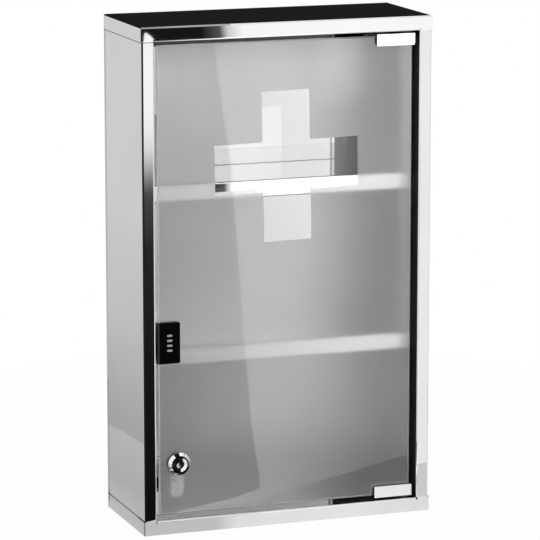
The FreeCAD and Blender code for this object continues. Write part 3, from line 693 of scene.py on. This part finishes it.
flagCard = {  # the dark flag at the left: its right edge by height, its tone and the lift towards that edge
    "left": -0.165, "liftFrom": -0.110, "low": 0.012, "high": 0.484, "rows": 60,
    "soft": 0.003, "clearLift": 1.0, "level": 0.0008,
    "edge": (
        (0.012, -0.165), (0.031, -0.034), (0.034, -0.027),
        (0.109, -0.0378), (0.350, -0.0583), (0.484, -0.076),
    ),
    "tone": ((0.034, 0.006), (0.166, 0.010), (0.350, 0.030), (0.425, 0.80), (0.480, 0.95), (0.484, 0.006)),
    "lift": ((0.034, 0.0), (0.109, 0.50), (0.224, 0.30), (0.350, 0.20), (0.387, 0.0)),
    "cornerGlow": ((0.425, 0.0), (0.450, 1.80), (0.480, 0.0)),
}


def hangFlag():
    level = flagCard["level"]
    rows = []
    for z in spread(flagCard["low"], flagCard["high"], flagCard["rows"]):
        edge = between(z, flagCard["edge"])
        tone = between(z, flagCard["tone"])
        lifted = tone + between(z, flagCard["lift"])
        corner = tone + between(z, flagCard["cornerGlow"])
        middle = max(flagCard["left"], min(flagCard["liftFrom"], edge))
        places = (flagCard["left"], middle, edge, edge + flagCard["soft"])
        tones = (corner, tone, lifted, flagCard["clearLift"] + lifted)
        rows.append([(beforeFront(x, z, level), shade) for x, shade in zip(places, tones)])
    hangCard("darkFlag", rows)


topFlag = {  # how the dark flag fades out along the top flange: x and tone, then height and shift of each row
    "fade": ((-0.165, 0.006), (-0.0900, 0.011), (-0.0715, 0.100), (-0.0635, 0.75), (-0.0480, 1.16)),
    "rows": ((0.4857, 0.0018), (0.5050, -0.0010)), "level": 0.0010,
}


def hangTopFlag():
    level = topFlag["level"]
    rows = [
        [(beforeFront(x + shift, z, level), tone) for x, tone in topFlag["fade"]]
        for z, shift in topFlag["rows"]
    ]
    hangCard("topFlag", rows)


stileCard = {  # the lit strip that only the left stile's upper half mirrors
    "left": -0.1505, "right": -0.1350, "low": 0.286, "high": 0.4855, "rows": 30, "level": 0.0012,
    "tone": ((0.286, 0.025), (0.338, 0.070), (0.350, 0.20), (0.385, 0.90), (0.405, 1.12)),
}


def hangStile():
    across = (stileCard["left"], stileCard["right"])
    frontCard("stileCard", across, stileCard["low"], stileCard["high"], stileCard["rows"], stileCard["level"],
              lambda x, z: between(z, stileCard["tone"]))


sideCard = {  # beside the left wall: height seen on the wall and tone, below and above a horizon line
    "front": -0.075, "rear": 0.075, "columns": 8, "level": 0.0004,
    "near": ((0.000, 0.60), (0.040, 0.49), (0.080, 0.54)),
    "edge": ((-0.075, 0.0925), (0.010, 0.0896), (0.075, 0.0850)),
    "far": ((0.102, 0.444), (0.200, 0.61), (0.320, 0.707), (0.500, 0.73)),
    "lineHalf": 0.0004, "lineLow": 0.545, "lineHigh": 0.436,
}


def hangSide():
    level = sideCard["level"]
    half = sideCard["lineHalf"]
    rows = []
    for y in spread(sideCard["front"], sideCard["rear"], sideCard["columns"]):
        edge = between(y, sideCard["edge"])
        line = ((edge - half, sideCard["lineLow"]), (edge + half, sideCard["lineHigh"]))
        stops = (*sideCard["near"], *line, *sideCard["far"])
        rows.append([(besideLeft(y, z, level), tone) for z, tone in stops])
    hangCard("sideCard", rows)


rearCard = {"low": 0.45, "high": 1.9, "left": -3.6, "right": 2.6, "far": 1.5, "tone": 0.014}
overheadCard = {"left": -0.96, "right": 0.33, "near": -1.0, "far": 0.3, "height": 1.9, "tone": 0.01}
wallCards = {  # soft grey floor and wall at both sides of the studio: distance, height and tone
    "sides": {"leftWall": -1, "rightWall": 1}, "near": -0.5, "far": 2.4,
    "rows": (
        (0.17, 0.0002, 0.80), (0.60, 0.0002, 0.70), (2.60, 0.0002, 0.52),
        (2.60, 0.30, 0.55), (2.60, 0.80, 0.66), (2.60, 1.60, 0.95),
    ),
}


def hangRoom():
    rows = [
        [(Vector((x, rearCard["far"], z)), rearCard["tone"]) for x in (rearCard["left"], rearCard["right"])]
        for z in (rearCard["low"], rearCard["high"])
    ]
    hangCard("rearFlag", rows)
    for name, side in wallCards["sides"].items():
        rows = [
            [(Vector((side * away, y, z)), tone) for y in (wallCards["near"], wallCards["far"])]
            for away, z, tone in wallCards["rows"]
        ]
        hangCard(name, rows)
    height, tone = overheadCard["height"], overheadCard["tone"]
    rows = [
        [(Vector((x, y, height)), tone) for x in (overheadCard["left"], overheadCard["right"])]
        for y in (overheadCard["near"], overheadCard["far"])
    ]
    hangCard("overheadFlag", rows)


cornerCard = {  # the pale patch that the top flange mirrors above the left stile: height, left, right
    "rows": (
        (0.4858, -0.1468, -0.1366), (0.4885, -0.1464, -0.1366), (0.4915, -0.1460, -0.1395),
        (0.4938, -0.1457, -0.1425), (0.4946, -0.1452, -0.1436),
    ),
    "tone": 1.2, "level": 0.0014,
}


def hangCorner():
    rows = [
        [(beforeFront(x, z, cornerCard["level"]), cornerCard["tone"]) for x in (left, right)]
        for z, left, right in cornerCard["rows"]
    ]
    hangCard("cornerCard", rows)


insideDome = {  # lights the inside through the door: share lit by turn, then radius, height, dim and lit tone
    "turns": (
        (-180, 0.7), (-120, 0.7), (-75, 0.5), (-45, 0.2), (-25, 0.06), (-6, 0.06), (8, 0.1), (15.4, 0.2),
        (15.5, -0.37), (16.75, -0.37), (17.1, 0.95), (25, 1.0), (34, 1.35), (70, 1.35), (120, 0.9),
        (180, 0.7),
    ),
    "rings": (
        (0.165, 0.0016, 0.1, 0.15), (0.5, 0.0016, 0.3, 0.95), (1.0, 0.0016, 0.45, 1.7),
        (1.8, 0.0016, 0.45, 1.62), (2.0, 0.6, 0.85, 1.68), (1.9, 1.4, 1.5, 2.1), (1.2, 2.0, 2.0, 2.1),
        (0.2, 2.2, 2.1, 2.1),
    ),
}


def hangDome():
    rows = []
    for away, height, dim, lit in insideDome["rings"]:
        row = []
        for turn, share in insideDome["turns"]:
            angle = math.radians(turn)
            tone = dim + (lit - dim) * share
            row.append((Vector((away * math.sin(angle), -away * math.cos(angle), height)), tone))
        rows.append(row)
    hangCard("insideDome", rows, ("glossy",))


def hangCards():
    hangPane()
    hangFlanges()
    hangRight()
    hangClamp()
    hangFlag()
    hangTopFlag()
    hangStile()
    hangSide()
    hangRoom()
    hangCorner()
    hangDome()


layFloor()
lightWorld()
hangLamps()
hangCards()
bpy.context.scene.view_settings.view_transform = "Standard"
print("studio set")
